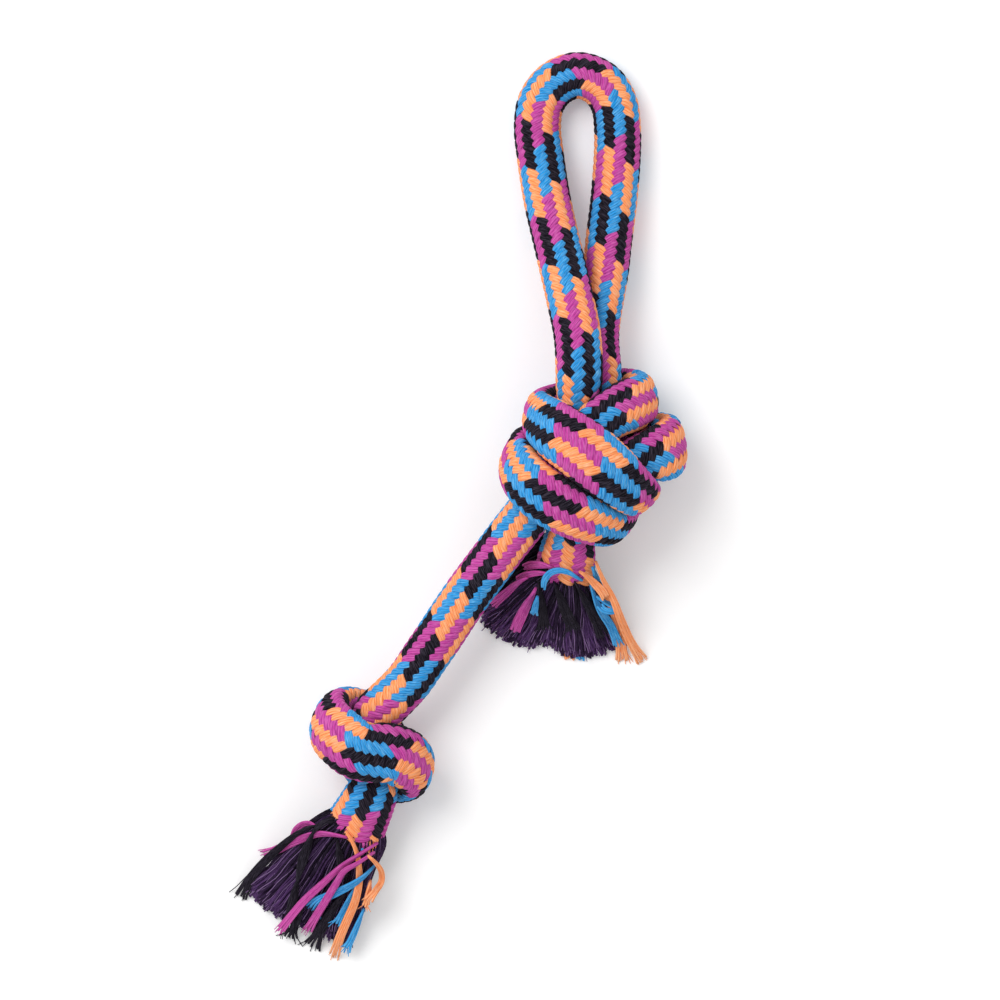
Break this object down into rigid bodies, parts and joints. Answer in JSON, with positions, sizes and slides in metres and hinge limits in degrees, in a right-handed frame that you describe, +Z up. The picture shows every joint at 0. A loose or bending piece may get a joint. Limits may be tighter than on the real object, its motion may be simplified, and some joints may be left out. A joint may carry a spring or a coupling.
{
  "type": "rope dog toy",
  "caption": "Braided rope tug toy with a handle loop, a large knot, a long leg to a small knot, and frayed tassels at both rope ends.",
  "frame": {"origin": "centre of the toy's bounding box in plan, on the surface that it lies on", "axes": "+Y from the tassels towards the handle loop, +X to the right as the picture shows it, +Z up off the surface"},
  "size_m": [0.1876, 0.3794, 0.0727],
  "materials": {
    "braided_cover": "cotton braid in orange, blue, magenta and black",
    "core_yarn": "dark purple cotton yarn",
    "fringe_yarn": "dark purple cotton yarn, cut ends",
    "orange_strand": "orange cotton yarn",
    "blue_strand": "blue cotton yarn",
    "magenta_strand": "magenta cotton yarn",
    "black_strand": "black cotton yarn"
  },
  "bodies": {
    "handle_knot": {"knot_short_run_cover": "braided_cover", "knot_short_run_core": "core_yarn", "knot_long_run_cover": "braided_cover", "knot_long_run_core": "core_yarn", "loop_bend_left_cover": "braided_cover", "loop_bend_left_core": "core_yarn", "loop_bend_right_cover": "braided_cover", "loop_bend_right_core": "core_yarn", "leg_bend_cover": "braided_cover", "leg_bend_core": "core_yarn", "short_neck_cover": "braided_cover", "short_neck_core": "core_yarn"},
    "handle_loop": {"handle_loop_cover": "braided_cover", "handle_loop_core": "core_yarn"},
    "long_leg": {"long_leg_cover": "braided_cover", "long_leg_core": "core_yarn", "end_bend_cover": "braided_cover", "end_bend_core": "core_yarn"},
    "end_knot": {"end_knot_cover": "braided_cover", "end_knot_core": "core_yarn", "end_neck_cover": "braided_cover", "end_neck_core": "core_yarn"},
    "short_tassel": {"short_fringe": "fringe_yarn", "short_strand_magenta": "magenta_strand", "short_strand_black_left": "black_strand", "short_strand_black_middle": "black_strand", "short_strand_orange_tip": "orange_strand", "short_strand_black_right": "black_strand", "short_strand_blue": "blue_strand", "short_strand_orange_long": "orange_strand"},
    "end_tassel": {"end_fringe": "fringe_yarn", "end_strand_magenta_left": "magenta_strand", "end_strand_black_thick": "black_strand", "end_strand_black_outer": "black_strand", "end_strand_magenta_upper": "magenta_strand", "end_strand_magenta_lower": "magenta_strand", "end_strand_blue_across": "blue_strand", "end_strand_orange_long": "orange_strand", "end_strand_blue_middle": "blue_strand", "end_strand_blue_right": "blue_strand", "end_strand_orange_curl": "orange_strand"}
  },
  "joints": [
    {"name": "handle_loop_bend", "type": "hinge", "parent": "handle_knot", "child": "handle_loop", "pos_m": [0.05439, 0.0623, 0.031], "axis": [1, 0, 0], "range_deg": [-30, 60], "deforming": ["loop_bend_left_cover", "loop_bend_left_core", "loop_bend_right_cover", "loop_bend_right_core"]},
    {"name": "long_leg_bend", "type": "hinge", "parent": "handle_knot", "child": "long_leg", "pos_m": [0.01339, -0.0237, 0.033], "axis": [-0.83, 0.5578, 0], "range_deg": [-20, 60], "deforming": ["leg_bend_cover", "leg_bend_core"]},
    {"name": "end_knot_bend", "type": "hinge", "parent": "long_leg", "child": "end_knot", "pos_m": [-0.02111, -0.0727, 0.0275], "axis": [-0.774, 0.6332, 0], "range_deg": [-45, 45], "deforming": ["end_bend_cover", "end_bend_core"]},
    {"name": "short_tassel_bend", "type": "hinge", "parent": "handle_knot", "child": "short_tassel", "pos_m": [0.04589, -0.0267, 0.026], "axis": [-1, 0, 0], "range_deg": [-20, 50], "deforming": ["short_neck_cover", "short_neck_core"]},
    {"name": "end_tassel_bend", "type": "hinge", "parent": "end_knot", "child": "end_tassel", "pos_m": [-0.03711, -0.1217, 0.0235], "axis": [-0.904, 0.4275, 0], "range_deg": [-20, 50], "deforming": ["end_neck_cover", "end_neck_core"]}
  ]
}
